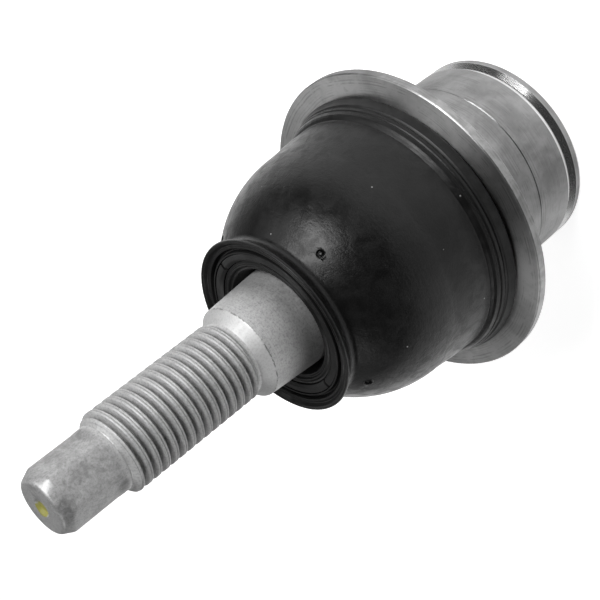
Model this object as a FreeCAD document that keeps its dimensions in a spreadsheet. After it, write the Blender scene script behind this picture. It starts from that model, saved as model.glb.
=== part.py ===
"""Press-in suspension ball joint: a ball stud held in a flanged steel housing, under a rubber boot.

Millimetres. The axis of the joint is Z and the threaded end of the stud points up. Z = 0 is the
seat: the flange's lower face, which stops against the control arm that the barrel is pressed into.
"""
import FreeCAD, Part
import math
import os
import re
import Sketcher

# Driving sizes: name, millimetres or degrees, and what it is
SIZES = [
    # housing
    ("flange_dia", 66.1, "flange, outside"),
    ("flange_thickness", 2.2, "flange, seat to front face"),
    ("flange_front_edge", 0.25, "bevel of the flange's front edge"),
    ("flange_rear_edge", 0.35, "bevel of the flange's edge on the seat side"),
    ("press_land_dia", 42.7, "barrel where the control arm grips it"),
    ("press_land_length", 15.4, "end of the press land, below the seat"),
    ("barrel_dia", 42.2, "barrel behind the press land"),
    ("barrel_length", 29.4, "barrel, seat to rolled end"),
    ("barrel_end_round", 0.8, "round on the barrel's end"),
    ("clip_groove_place", 24.9, "seat to the retaining-ring groove"),
    ("clip_groove_width", 2.5, "retaining-ring groove, along the axis"),
    ("clip_groove_depth", 1.0, "retaining-ring groove, radial"),
    ("collar_dia", 51.2, "collar that the boot grips"),
    ("collar_height", 4.2, "collar above the flange"),
    ("collar_edge", 1.2, "bevel of the collar's top edge"),
    ("bead_groove_place", 1.0, "flange to the groove that locks the boot"),
    ("bead_groove_width", 1.8, "groove that locks the boot, along the axis"),
    ("bead_groove_depth", 0.8, "groove that locks the boot, radial"),
    # ball and its races
    ("ball_dia", 30.0, "ball"),
    ("ball_depth", 8.8, "ball centre below the seat"),
    ("ball_flat", 12.6, "ball centre to the flat at its foot"),
    ("swing_angle", 28.0, "largest tilt of the stud, any way"),
    ("swing_clearance", 0.7, "stud's neck to the housing's mouth at that tilt"),
    ("race_clearance", 0.08, "ball to race, radial"),
    ("race_wall", 2.3, "race, wall at the ball's equator"),
    ("race_lip_height", 5.9, "front race, top face above the ball centre"),
    ("race_depth", 14.0, "rear race, bottom face below the ball centre"),
    ("race_hole_dia", 16.0, "rear race, hole at the ball's foot"),
    ("race_bevel", 1.4, "races, outer bevel"),
    ("grease_slot_width", 1.6, "grease slots of the races"),
    ("grease_slot_depth", 0.8, "grease slots, into the race"),
    ("throat_height", 2.5, "straight throat above the front race"),
    ("fit_gap", 0.05, "pieces inside the bore, radial"),
    # rear closure
    ("washer_thickness", 0.9, "conical spring washer, sheet"),
    ("washer_dish", 0.6, "conical spring washer, free height of the cone"),
    ("washer_hole_dia", 17.6, "conical spring washer, hole"),
    ("cover_thickness", 2.8, "cover plate"),
    ("cover_step", 0.9, "cover plate beyond the bore, radial"),
    ("cover_dish_dia", 20.0, "dish in the cover plate"),
    ("cover_dish_depth", 0.7, "dish in the cover plate, depth"),
    ("rolled_edge_reach", 2.6, "rolled edge over the cover plate, radial"),
    ("rolled_edge_bevel", 1.0, "bevel inside the rolled edge"),
    # stud, heights above the ball centre
    ("neck_dia", 16.4, "neck above the ball"),
    ("neck_fillet", 2.5, "fillet, ball to neck"),
    ("neck_top", 20.0, "end of the straight neck"),
    ("neck_blend", 6.0, "rounds at both ends of the flare"),
    ("seal_land_dia", 20.5, "land that the boot seals on"),
    ("seal_land_place", 30.0, "start of the seal land"),
    ("seal_land_length", 14.3, "seal land"),
    ("shoulder_dia", 18.9, "small end of the taper"),
    ("taper_ratio", 8.0, "taper, length per millimetre of diameter"),
    ("shoulder_cone", 2.0, "cone between the taper and the thread, length"),
    ("undercut_dia", 14.9, "undercut before the thread"),
    ("undercut_length", 0.8, "undercut before the thread, length"),
    ("thread_dia", 16.0, "thread, outside"),
    ("thread_length", 29.5, "thread with both its lead bevels"),
    ("thread_lead", 1.2, "lead bevel of the thread"),
    ("hex_flats", 12.0, "hexagon end, across flats"),
    ("hex_corner_dia", 13.2, "hexagon end, turned over the corners"),
    ("hex_length", 14.0, "hexagon end"),
    ("hex_root_round", 3.0, "run-out of each flat"),
    ("stud_turn", 21.0, "stud about its axis at rest, one flat to the X axis"),
    ("tip_bevel", 1.25, "bevel of the tip, radial"),
    ("tip_bevel_length", 2.2, "bevel of the tip, along the axis"),
    ("tip_round", 0.6, "rounds on both edges of that bevel"),
    ("centre_hole_dia", 3.6, "centre hole in the tip"),
    ("centre_hole_depth", 0.6, "centre hole in the tip, depth"),
    # boot, heights above the flange's front face
    ("boot_wall", 2.2, "boot, wall"),
    ("boot_gap", 0.15, "boot to the metal it sits on"),
    ("bead_wall", 1.6, "boot's foot under its ring, beyond the collar"),
    ("foot_wall", 2.2, "boot's foot above its ring, beyond the collar"),
    ("foot_round", 0.7, "round on the foot's upper edge"),
    ("waist_round", 2.6, "hollow between the foot and the bulb"),
    ("waist_height", 9.0, "where that hollow runs into the bulb"),
    ("bulb_height", 15.5, "widest place of the bulb"),
    ("bulb_dia", 51.2, "bulb, outside"),
    ("bulb_round", 24.0, "bulb, radius of its outline"),
    ("bulb_top", 32.0, "end of the bulb's outline"),
    ("mouth_dia", 32.6, "mouth, inside the lip"),
    ("notch_wall", 0.2, "mouth to the notch behind the lip, radial"),
    ("notch_height", 34.5, "notch behind the lip"),
    ("lip_width", 2.3, "lip beyond the mouth, radial"),
    ("lip_height", 37.8, "lip, front edge"),
    ("lip_tip", 0.6, "lip, thickness of its front edge"),
    ("mouth_groove_width", 0.7, "groove round the mouth, radial"),
    ("mouth_groove_depth", 1.4, "groove round the mouth, depth"),
    ("mouth_ridge", 0.3, "ridge between that groove and the neck ring's seat, radial"),
    ("mouth_dish", 0.9, "mouth below the lip's edge"),
    ("inner_lip_dia", 23.0, "edge of the inner lip"),
    ("seal_height", 33.4, "seal edge on the stud, top"),
    ("seal_length", 2.0, "seal edge on the stud"),
    # rings
    ("base_ring_stand", 3.0, "boot's base ring, outside face beyond the collar"),
    ("base_ring_height", 3.1, "boot's base ring, height"),
    ("base_ring_sheet", 1.1, "boot's base ring, sheet"),
    ("base_ring_reach", 0.7, "base ring's flange over the boot's foot, radial"),
    ("neck_ring_width", 1.7, "boot's neck ring, radial"),
    ("neck_ring_height", 1.6, "boot's neck ring, height"),
    ("neck_ring_notch", 0.8, "notches in the neck ring, width"),
    ("ring_gap", 0.1, "neck ring to its seat in the boot"),
]

# Sizes that follow from the driving ones
DERIVED = {
    "ball_r": "ball_dia / 2",
    "seat_r": "ball_r + race_clearance",
    "race_r": "seat_r + race_wall",
    "bore_r": "race_r + fit_gap",
    "neck_r": "neck_dia / 2",
    "throat_top": "race_lip_height + throat_height",
    "collar_top": "flange_thickness + collar_height",
    "cover_r": "bore_r + cover_step",
    "cover_top": "ball_depth + race_depth + washer_thickness + washer_dish",
    "cover_bottom": "cover_top + cover_thickness",
    "fillet_r": "neck_r + neck_fillet",
    "fillet_reach": "ball_r + neck_fillet",
    "fillet_height": "sqrt(fillet_reach ^ 2 - fillet_r ^ 2)",
    "taper_start": "seal_land_place + seal_land_length",
    "shoulder": "taper_start + (seal_land_dia - shoulder_dia) * taper_ratio",
    "undercut_start": "shoulder + shoulder_cone",
    "undercut_end": "undercut_start + undercut_length",
    "thread_start": "undercut_end",
    "thread_end": "thread_start + thread_length",
    "tip": "thread_end + hex_length",
    "bulb_centre": "bulb_dia / 2 - bulb_round",
    "inner_round": "bulb_round - boot_wall",
    "foot_inner_r": "collar_dia / 2 + boot_gap",
    "bead_dia": "collar_dia + 2 * bead_wall",
    "foot_dia": "collar_dia + 2 * foot_wall",
    "base_ring_dia": "collar_dia + 2 * base_ring_stand",
    "notch_dia": "mouth_dia + 2 * notch_wall",
    "lip_dia": "mouth_dia + 2 * lip_width",
    "ring_seat_r": "mouth_dia / 2 - mouth_groove_width - mouth_ridge",
    "neck_ring_dia": "2 * (ring_seat_r - ring_gap)",
    "neck_ring_inner_r": "neck_ring_dia / 2 - neck_ring_width",
    "mouth_floor": "lip_height - mouth_dish",
    "neck_ring_top": "mouth_floor",
    "neck_ring_bottom": "neck_ring_top - neck_ring_height",
}

GREASE_SLOTS = 6
HEX_SIDES = 6
NECK_RING_NOTCHES = 2

doc = FreeCAD.newDocument("ball_joint")
sheet = doc.addObject("Spreadsheet::Sheet", "sizes")
for row, (name, size, note) in enumerate(SIZES, start=1):
    sheet.set(f"A{row}", name)
    sheet.set(f"B{row}", str(size))
    sheet.setAlias(f"B{row}", name)
    sheet.set(f"C{row}", note)
doc.recompute()

SHEET_NAMES = {name for name, size, note in SIZES}


def bind(formula):
    """The formula with each derived size written out and each driving size tied to its cell."""
    def expand(match):
        word = match.group(0)
        if word in DERIVED:
            return "(" + bind(DERIVED[word]) + ")"
        return "sizes." + word if word in SHEET_NAMES else word
    return re.sub(r"[a-z_]+", expand, formula)


def value(formula):
    """The formula's present value."""
    return float(sheet.evalExpression(bind(formula)))


def origin_feature(body, role):
    """The body's own origin plane or axis of that role."""
    return next(item for item in body.Origin.OriginFeatures if item.Role == role)


def new_body(name, height="0"):
    """An empty body whose local origin lies on the axis, at that height above the seat."""
    body = doc.addObject("PartDesign::Body", name)
    body.Label = name
    body.setExpression("Placement.Base.z", bind(height))
    return body


def turn_about_axis(body, angle):
    """Turns the whole body about its own axis by that size."""
    body.Placement.Rotation = FreeCAD.Rotation(FreeCAD.Vector(0, 0, 1), value(angle))
    body.setExpression("Placement.Rotation.Angle", bind(angle))


def arc_centre(start, end, radius, turn):
    """Centre of the shorter arc from start to end that bends to the left or to the right."""
    along = end - start
    rise = math.sqrt(max(radius ** 2 - (along.Length / 2) ** 2, 0.0))
    side = FreeCAD.Vector(-along.y, along.x, 0).normalize()
    return (start + end) / 2 + side * (rise if turn == "left" else -rise)


def outline(body, name, steps, role="XZ_Plane"):
    """A closed sketch: each step goes to (x, y) in a line, or in an arc (x, y, radius, turn).

    Every corner is dimensioned from the sketch's origin and every arc by its radius.
    """
    sketch = body.newObject("Sketcher::SketchObject", name)
    sketch.AttachmentSupport = [(origin_feature(body, role), "")]
    sketch.MapMode = "FlatFace"
    corners = [FreeCAD.Vector(value(step[0]), value(step[1]), 0) for step in steps]
    starts = []
    ends = []
    for index, step in enumerate(steps):
        start = corners[index - 1]
        end = corners[index]
        if len(step) == 2:
            edge = sketch.addGeometry(Part.LineSegment(start, end), False)
            starts.append((edge, 1))
            ends.append((edge, 2))
            continue
        centre = arc_centre(start, end, value(step[2]), step[3])
        left = step[3] == "left"
        first, last = (start, end) if left else (end, start)
        angles = [math.atan2((point - centre).y, (point - centre).x) for point in (first, last)]
        if angles[1] < angles[0]:
            angles[1] += 2 * math.pi
        circle = Part.Circle(centre, FreeCAD.Vector(0, 0, 1), value(step[2]))
        edge = sketch.addGeometry(Part.ArcOfCircle(circle, *angles), False)
        starts.append((edge, 1 if left else 2))
        ends.append((edge, 2 if left else 1))
        radius = sketch.addConstraint(Sketcher.Constraint("Radius", edge, value(step[2])))
        sketch.setExpression(f"Constraints[{radius}]", bind(step[2]))
    for index, step in enumerate(steps):
        following = starts[(index + 1) % len(steps)]
        sketch.addConstraint(Sketcher.Constraint("Coincident", *ends[index], *following))
        for kind, formula in (("DistanceX", step[0]), ("DistanceY", step[1])):
            size = Sketcher.Constraint(kind, -1, 1, *ends[index], value(formula))
            number = sketch.addConstraint(size)
            if formula != "0":
                sketch.setExpression(f"Constraints[{number}]", bind(formula))
    return sketch


def turned(body, name, steps, cut=False):
    """The outline turned about the body's axis: stock, or a cut into what is there."""
    sketch = outline(body, name + "_outline", steps)
    kind = "PartDesign::Groove" if cut else "PartDesign::Revolution"
    feature = body.newObject(kind, name)
    feature.Profile = sketch
    feature.ReferenceAxis = (sketch, ["V_Axis"])
    feature.Angle = 360
    doc.recompute()
    return feature


def slotted(body, name, steps, width, count, role="XZ_Plane"):
    """A slot of that width cut through the outline, repeated round the axis."""
    sketch = outline(body, name + "_outline", steps, role)
    slot = body.newObject("PartDesign::Pocket", name)
    slot.Profile = sketch
    slot.Midplane = True
    slot.setExpression("Length", bind(width))
    around = body.newObject("PartDesign::PolarPattern", name + "s")
    around.Originals = [slot]
    around.Axis = (origin_feature(body, "Z_Axis"), [""])
    around.Angle = 360
    around.Occurrences = count
    body.Tip = around
    doc.recompute()
    return around


def rounded(body, name, radius, rings):
    """Fillets on the circular edges that have each (radius, height) of rings."""
    last = body.Tip
    names = []
    for ring_radius, height in rings:
        for number, edge in enumerate(last.Shape.Edges, start=1):
            curve = edge.Curve
            if not isinstance(curve, Part.Circle):
                continue
            off = abs(curve.Radius - value(ring_radius)) + abs(curve.Center.z - value(height))
            if off < 1e-4:
                names.append(f"Edge{number}")
    fillet = body.newObject("PartDesign::Fillet", name)
    fillet.Base = (last, names)
    fillet.setExpression("Radius", bind(radius))
    doc.recompute()
    return fillet


def make_housing():
    """Forged and turned steel: flange, barrel, boot collar and the bore that holds the ball."""
    body = new_body("housing")
    flange = "flange_dia / 2"
    land = "press_land_dia / 2"
    barrel = "barrel_dia / 2"
    collar = "collar_dia / 2"
    turned(body, "forging", [
        ("0", "-barrel_length"),
        (f"{barrel} - barrel_end_round", "-barrel_length"),
        (barrel, "barrel_end_round - barrel_length", "barrel_end_round", "left"),
        (barrel, "-press_land_length"),
        (land, f"{land} - {barrel} - press_land_length"),
        (land, "0"),
        (f"{flange} - flange_rear_edge", "0"),
        (flange, "flange_rear_edge"),
        (flange, "flange_thickness - flange_front_edge"),
        (f"{flange} - flange_front_edge", "flange_thickness"),
        (collar, "flange_thickness"),
        (collar, "collar_top - collar_edge"),
        (f"{collar} - collar_edge", "collar_top"),
        ("0", "collar_top"),
    ])
    bottom = "-(cover_bottom)"
    opening = "cover_r - rolled_edge_reach"
    mouth = "tan(swing_angle) * ({0}) + neck_r / cos(swing_angle) + swing_clearance"
    turned(body, "bore", [
        ("0", "-barrel_length"),
        (f"{opening} + rolled_edge_bevel", "-barrel_length"),
        (opening, "rolled_edge_bevel - barrel_length"),
        (opening, bottom),
        ("cover_r", bottom),
        ("cover_r", "-(cover_top)"),
        ("bore_r", "-(cover_top)"),
        ("bore_r", "race_lip_height - ball_depth"),
        (mouth.format("throat_top"), "race_lip_height - ball_depth"),
        (mouth.format("throat_top"), "throat_top - ball_depth"),
        (mouth.format("collar_top + ball_depth"), "collar_top"),
        ("0", "collar_top"),
    ], cut=True)
    floor = f"{barrel} - clip_groove_depth"
    near = "-clip_groove_place"
    far = "-(clip_groove_place + clip_groove_width)"
    corner = "clip_groove_depth * 0.5"
    turned(body, "clip_groove", [
        (f"{barrel} + clip_groove_depth", far),
        (f"{barrel} + clip_groove_depth", near),
        (f"{floor} + {corner}", near),
        (floor, f"{near} - {corner}", corner, "left"),
        (floor, f"{far} + {corner}"),
        (f"{floor} + {corner}", far, corner, "left"),
    ], cut=True)
    low = "flange_thickness + bead_groove_place"
    high = f"{low} + bead_groove_width"
    turned(body, "bead_groove", [
        (f"{collar} + bead_groove_depth", low),
        (f"{collar} + bead_groove_depth", high),
        (f"{collar} - bead_groove_depth", high),
        (f"{collar} - bead_groove_depth", low),
    ], cut=True)
    return body


def make_front_race():
    """Polymer race above the ball's equator, under the housing's shoulder."""
    body = new_body("front_race", "-ball_depth")
    edge = "sqrt(seat_r ^ 2 - race_lip_height ^ 2)"
    turned(body, "race", [
        ("race_r", "0"),
        ("race_r", "race_lip_height - race_bevel / 2"),
        ("race_r - race_bevel / 2", "race_lip_height"),
        (edge, "race_lip_height"),
        ("seat_r", "0", "seat_r", "right"),
    ])
    inner = "seat_r - grease_slot_depth"
    outer = "seat_r + grease_slot_depth"
    slotted(body, "grease_slot", [
        (inner, "-race_bevel"),
        (outer, "-race_bevel"),
        (outer, "race_lip_height - grease_slot_depth * 2"),
        (inner, "race_lip_height - grease_slot_depth * 2"),
    ], "grease_slot_width", GREASE_SLOTS)
    return body


def make_rear_race():
    """Polymer race below the equator, open at the foot of the ball."""
    body = new_body("rear_race", "-ball_depth")
    hole = "race_hole_dia / 2"
    turned(body, "race", [
        ("race_r", "0"),
        ("seat_r", "0"),
        (hole, f"-sqrt(seat_r ^ 2 - ({hole}) ^ 2)", "seat_r", "right"),
        (hole, "-race_depth"),
        ("race_r - race_bevel", "-race_depth"),
        ("race_r", "race_bevel - race_depth"),
    ])
    reach = "(seat_r + grease_slot_depth)"
    slotted(body, "grease_slot", [
        ("seat_r / 2", "0"),
        ("seat_r / 2", f"-sqrt({reach} ^ 2 - (seat_r / 2) ^ 2)"),
        (reach, "0", reach, "left"),
    ], "grease_slot_width", GREASE_SLOTS)
    return body


def make_preload_washer():
    """Conical spring washer that presses the rear race against the ball."""
    body = new_body("preload_washer", "-(ball_depth + race_depth)")
    rim = "bore_r - washer_dish"
    hole = "washer_hole_dia / 2"
    turned(body, "cone", [
        (hole, "-fit_gap"),
        (rim, "-fit_gap - washer_dish"),
        (rim, "fit_gap - washer_dish - washer_thickness"),
        (hole, "fit_gap - washer_thickness"),
    ])
    return body


def make_cover_plate():
    """Dished steel plate on its step in the bore, held by the rolled edge."""
    body = new_body("cover_plate", "-(cover_top)")
    rim = "cover_r - fit_gap"
    dish = "cover_dish_dia / 2"
    turned(body, "plate", [
        ("0", "0"),
        ("0", "cover_dish_depth - cover_thickness"),
        (f"{dish} - cover_dish_depth", "cover_dish_depth - cover_thickness"),
        (dish, "-cover_thickness"),
        (rim, "-cover_thickness"),
        (rim, "0"),
    ])
    return body


def make_ball_stud():
    """One forging: ball, neck, seal land, taper, threaded shank and hexagon end."""
    body = new_body("ball_stud", "-ball_depth")
    flat_r = "sqrt(ball_r ^ 2 - ball_flat ^ 2)"
    thread_r = "thread_dia / 2"
    undercut_r = "undercut_dia / 2"
    corner_r = "hex_corner_dia / 2"
    turned(body, "blank", [
        ("0", "-ball_flat"),
        (flat_r, "-ball_flat"),
        ("ball_r", "0", "ball_r", "left"),
        ("fillet_r * ball_r / fillet_reach", "fillet_height * ball_r / fillet_reach", "ball_r", "left"),
        ("neck_r", "fillet_height", "neck_fillet", "right"),
        ("neck_r", "neck_top"),
        ("seal_land_dia / 2", "seal_land_place"),
        ("seal_land_dia / 2", "taper_start"),
        ("shoulder_dia / 2", "shoulder"),
        (undercut_r, "undercut_start"),
        (undercut_r, "undercut_end"),
        (thread_r, f"undercut_end + {thread_r} - {undercut_r}"),
        (thread_r, f"thread_end - thread_lead"),
        (corner_r, "thread_end"),
        (corner_r, "tip - tip_bevel_length"),
        (f"{corner_r} - tip_bevel", "tip"),
        ("0", "tip"),
    ])
    rounded(body, "flare_rounds", "neck_blend", [
        ("neck_r", "neck_top"),
        ("seal_land_dia / 2", "seal_land_place"),
    ])
    rounded(body, "tip_rounds", "tip_round", [
        (corner_r, "tip - tip_bevel_length"),
        (f"{corner_r} - tip_bevel", "tip"),
    ])
    flat = "hex_flats / 2"
    clear = f"{flat} + hex_root_round"
    slotted(body, "hex_flat", [
        (flat, "tip + tip_bevel"),
        (flat, "thread_end + hex_root_round"),
        (clear, "thread_end", "hex_root_round", "left"),
        (clear, "tip + tip_bevel"),
    ], "thread_dia", HEX_SIDES)
    turned(body, "centre_hole", [
        ("0", "tip - centre_hole_depth"),
        ("centre_hole_dia / 2 - centre_hole_depth", "tip - centre_hole_depth"),
        ("centre_hole_dia / 2", "tip"),
        ("0", "tip"),
    ], cut=True)
    turn_about_axis(body, "stud_turn")
    return body


def make_dust_boot():
    """Moulded rubber boot: foot round the collar, bulb, neck that seals on the stud, flared lip."""
    body = new_body("dust_boot", "flange_thickness")
    ring_top = "(base_ring_height + boot_gap)"
    under_ring = "base_ring_height - base_ring_sheet - boot_gap"
    ring_mouth = "base_ring_dia / 2 - base_ring_sheet - base_ring_reach - boot_gap"
    lock_r = "foot_inner_r - bead_groove_depth"
    lock_low = "bead_groove_place + boot_gap"
    lock_high = "bead_groove_place + bead_groove_width - boot_gap"
    waist_reach = "sqrt(bulb_round ^ 2 - (bulb_height - waist_height) ^ 2)"
    waist = f"bulb_centre + {waist_reach}"
    hollow_r = f"bulb_centre + {waist_reach} * (bulb_round + waist_round) / bulb_round"
    shelf = "waist_height - (bulb_height - waist_height) * waist_round / bulb_round - waist_round"
    shoulder = "bulb_centre + sqrt(bulb_round ^ 2 - (bulb_top - bulb_height) ^ 2)"
    inner_waist = "bulb_centre + sqrt(inner_round ^ 2 - (bulb_height - waist_height) ^ 2)"
    inner_top = "bulb_height + sqrt(inner_round ^ 2 - (notch_dia / 2 - bulb_centre) ^ 2)"
    seal_r = "seal_land_dia / 2 + boot_gap"
    seal_low = "seal_height - seal_length"
    groove_floor = "mouth_floor - mouth_groove_depth"
    ring_seat_inner_r = "neck_ring_inner_r - ring_gap"
    ring_seat_floor = "neck_ring_bottom - ring_gap"
    turned(body, "moulding", [
        ("foot_inner_r", "boot_gap"),
        ("bead_dia / 2 - boot_gap", "boot_gap"),
        ("bead_dia / 2 - boot_gap", under_ring),
        (ring_mouth, under_ring),
        (ring_mouth, ring_top),
        ("foot_dia / 2", ring_top),
        ("foot_dia / 2", f"{shelf} - foot_round"),
        ("foot_dia / 2 - foot_round", shelf, "foot_round", "left"),
        (hollow_r, shelf),
        (waist, "waist_height", "waist_round", "right"),
        (shoulder, "bulb_top", "bulb_round", "left"),
        ("notch_dia / 2", "notch_height", "2 * boot_wall", "right"),
        ("lip_dia / 2", "lip_height - lip_tip", "2 * boot_wall", "right"),
        ("lip_dia / 2 - lip_tip / 2", "lip_height", "lip_tip", "left"),
        ("mouth_dia / 2", "mouth_floor"),
        ("mouth_dia / 2 - mouth_groove_width * 0.2", groove_floor),
        ("mouth_dia / 2 - mouth_groove_width * 0.8", groove_floor),
        ("mouth_dia / 2 - mouth_groove_width", "mouth_floor"),
        ("ring_seat_r", "mouth_floor"),
        ("ring_seat_r", ring_seat_floor),
        (ring_seat_inner_r, ring_seat_floor),
        (ring_seat_inner_r, "mouth_floor"),
        ("inner_lip_dia / 2", "mouth_floor - ring_gap"),
        (seal_r, "seal_height"),
        (seal_r, seal_low),
        (f"{seal_r} + boot_wall", f"{seal_low} - boot_wall / 2"),
        ("notch_dia / 2", inner_top),
        (inner_waist, "waist_height", "inner_round", "right"),
        ("foot_inner_r", "collar_height"),
        ("foot_inner_r", lock_high),
        (lock_r, lock_high),
        (lock_r, lock_low),
        ("foot_inner_r", lock_low),
    ])
    return body


def make_boot_base_ring():
    """Steel ring that squeezes the boot's foot on the collar and covers its top."""
    body = new_body("boot_base_ring", "flange_thickness")
    outer = "base_ring_dia / 2"
    wall = f"{outer} - base_ring_sheet"
    turned(body, "ring", [
        (wall, "0"),
        (outer, "0"),
        (outer, "base_ring_height - base_ring_sheet / 2"),
        (f"{outer} - base_ring_sheet / 2", "base_ring_height", "base_ring_sheet / 2", "left"),
        (f"{wall} - base_ring_reach", "base_ring_height"),
        (f"{wall} - base_ring_reach", "base_ring_height - base_ring_sheet"),
        (wall, "base_ring_height - base_ring_sheet"),
    ])
    return body


def make_boot_neck_ring():
    """Flat steel ring that stiffens the boot's neck, seated flush in its mouth."""
    body = new_body("boot_neck_ring", "flange_thickness")
    outer = "neck_ring_dia / 2"
    inner = "neck_ring_inner_r"
    turned(body, "ring", [
        (inner, "neck_ring_bottom"),
        (outer, "neck_ring_bottom"),
        (outer, "neck_ring_top"),
        (inner, "neck_ring_top"),
    ])
    slotted(body, "notch", [
        (f"{inner} - ring_gap", "neck_ring_top - neck_ring_height / 2"),
        (f"{outer} + ring_gap", "neck_ring_top - neck_ring_height / 2"),
        (f"{outer} + ring_gap", "neck_ring_top + ring_gap"),
        (f"{inner} - ring_gap", "neck_ring_top + ring_gap"),
    ], "neck_ring_notch", NECK_RING_NOTCHES)
    return body


bodies = [
    make_housing(),
    make_front_race(),
    make_rear_race(),
    make_preload_washer(),
    make_cover_plate(),
    make_ball_stud(),
    make_dust_boot(),
    make_boot_base_ring(),
    make_boot_neck_ring(),
]
doc.recompute()

failed = [item.Label for item in doc.Objects if {"Invalid", "Error"} & set(item.State)]
failed += [body.Label for body in bodies if body.Shape.isNull() or not body.Shape.isValid()]
if failed:
    raise RuntimeError("these did not build: " + ", ".join(failed))

os.makedirs("parts", exist_ok=True)
for body in bodies:
    body.Shape.exportStep(f"parts/{body.Label}.step")
    box = body.Shape.BoundBox
    print(f"{body.Label:16s} {len(body.Shape.Solids)} solid, {body.Shape.Volume:9.1f} mm3,"
          f" z {box.ZMin:7.2f} to {box.ZMax:7.2f}, width {box.XLength:6.2f}")
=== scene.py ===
# %% [markdown]
# # A suspension ball joint
#
# The joint is pressed into a control arm by its flanged barrel, and its threaded stud is pulled into the
# taper of the wheel carrier. Inside, a steel ball turns in polymer races; outside, a rubber boot keeps the
# grease in. The exact solids come from the CAD model. Here they get their finish: smooth turned steel,
# a rolled thread, black rubber, and a camera that stands where the photographer stood.
#
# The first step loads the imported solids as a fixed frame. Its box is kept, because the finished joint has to
# fill the same box.

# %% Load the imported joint
import bpy
import bmesh
import math
import numpy as np
from mathutils import Matrix, Vector


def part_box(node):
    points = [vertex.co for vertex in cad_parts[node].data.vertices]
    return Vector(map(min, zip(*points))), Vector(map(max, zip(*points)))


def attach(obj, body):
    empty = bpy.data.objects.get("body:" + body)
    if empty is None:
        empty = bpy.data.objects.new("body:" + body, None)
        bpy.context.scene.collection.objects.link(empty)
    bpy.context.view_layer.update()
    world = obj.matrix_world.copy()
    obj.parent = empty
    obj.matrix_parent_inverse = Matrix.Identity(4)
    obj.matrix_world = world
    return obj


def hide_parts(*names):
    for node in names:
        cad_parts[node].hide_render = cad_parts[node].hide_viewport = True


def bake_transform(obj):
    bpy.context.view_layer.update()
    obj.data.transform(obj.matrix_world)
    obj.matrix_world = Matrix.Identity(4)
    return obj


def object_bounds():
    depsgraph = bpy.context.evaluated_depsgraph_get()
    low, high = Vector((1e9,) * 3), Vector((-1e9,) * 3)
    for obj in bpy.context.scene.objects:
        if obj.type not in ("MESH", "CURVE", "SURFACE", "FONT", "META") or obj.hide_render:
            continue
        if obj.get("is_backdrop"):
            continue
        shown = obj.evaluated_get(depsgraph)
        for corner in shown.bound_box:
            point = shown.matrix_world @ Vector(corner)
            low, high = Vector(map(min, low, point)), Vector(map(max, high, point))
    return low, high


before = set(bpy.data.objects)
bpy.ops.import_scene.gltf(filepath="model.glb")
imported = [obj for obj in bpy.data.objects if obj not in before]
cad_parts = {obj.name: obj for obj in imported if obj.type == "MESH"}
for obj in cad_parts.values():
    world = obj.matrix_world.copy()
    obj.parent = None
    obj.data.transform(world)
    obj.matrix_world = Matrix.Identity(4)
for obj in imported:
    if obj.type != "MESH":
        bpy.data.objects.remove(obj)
cad_low, cad_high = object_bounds()
MM = 0.001
print("solids:", sorted(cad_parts))
print("box in mm:", [round(side / MM, 1) for side in cad_high - cad_low])

# %% [markdown]
# ## The camera
#
# The photograph's camera could be matched by eye, but circles give it away exactly. The rims of the flange,
# the barrel, the boot's mouth and the stud are seen as ellipses, and only one place and focal length
# fit them all. The fit gives where the flange's front centre lies in the camera's view, which way the
# axis points there, and how the joint is turned about its axis. Turned round, that is the camera's
# place in the joint's own frame.

# %% Place the camera
PHOTO_SIDE = 600
FOCAL_PIXELS = 1343.4
SENSOR = 36.0
FLANGE_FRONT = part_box("boot_base_ring")[0].z
FLANGE_IN_VIEW = Vector((20.0768, 14.7720, -266.8234)) * MM
AXIS_IN_VIEW = Vector((-0.67302, -0.52705, 0.51890)).normalized()
NEAR_SIDE_IN_VIEW = Vector((0.408, 0.320, 0.855))
TURN_OF_X = math.radians(96.5)

near = (NEAR_SIDE_IN_VIEW - AXIS_IN_VIEW * NEAR_SIDE_IN_VIEW.dot(AXIS_IN_VIEW)).normalized()
x_in_view = near * math.cos(TURN_OF_X) + AXIS_IN_VIEW.cross(near) * math.sin(TURN_OF_X)
y_in_view = AXIS_IN_VIEW.cross(x_in_view)
view_to_row = Matrix((x_in_view, y_in_view, AXIS_IN_VIEW))
eye = Vector((0, 0, FLANGE_FRONT)) - view_to_row @ FLANGE_IN_VIEW

camera = bpy.data.objects.new("camera", bpy.data.cameras.new("camera"))
bpy.context.scene.collection.objects.link(camera)
camera.data.sensor_width = SENSOR
camera.data.lens = SENSOR * FOCAL_PIXELS / PHOTO_SIDE
camera.data.clip_start, camera.data.clip_end = 0.01, 30
camera.matrix_world = Matrix.Translation(eye) @ view_to_row.to_4x4()
bpy.context.scene.camera = camera
print("lens in mm:", round(camera.data.lens, 2), " eye in mm:", [round(c / MM, 1) for c in eye])

# %% [markdown]
# ## Turned outlines
#
# Nearly every piece of the joint is round, so it is an outline turned about the axis. Blender's Screw
# modifier could do it, but building the rings of points directly gives control over where they lie.
# Real edges are never perfectly sharp, and the small rounds are what catches the light, so an outline
# is a list of corners, each with its own radius, and a helper puts the arcs in. Close to each arc it
# adds a guard point, so that smooth shading stays in the round and doesn't creep over the flat.

# %% Round the corners of an outline
ARC_STEPS = 5
EDGE_SHARE = 0.48


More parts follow.
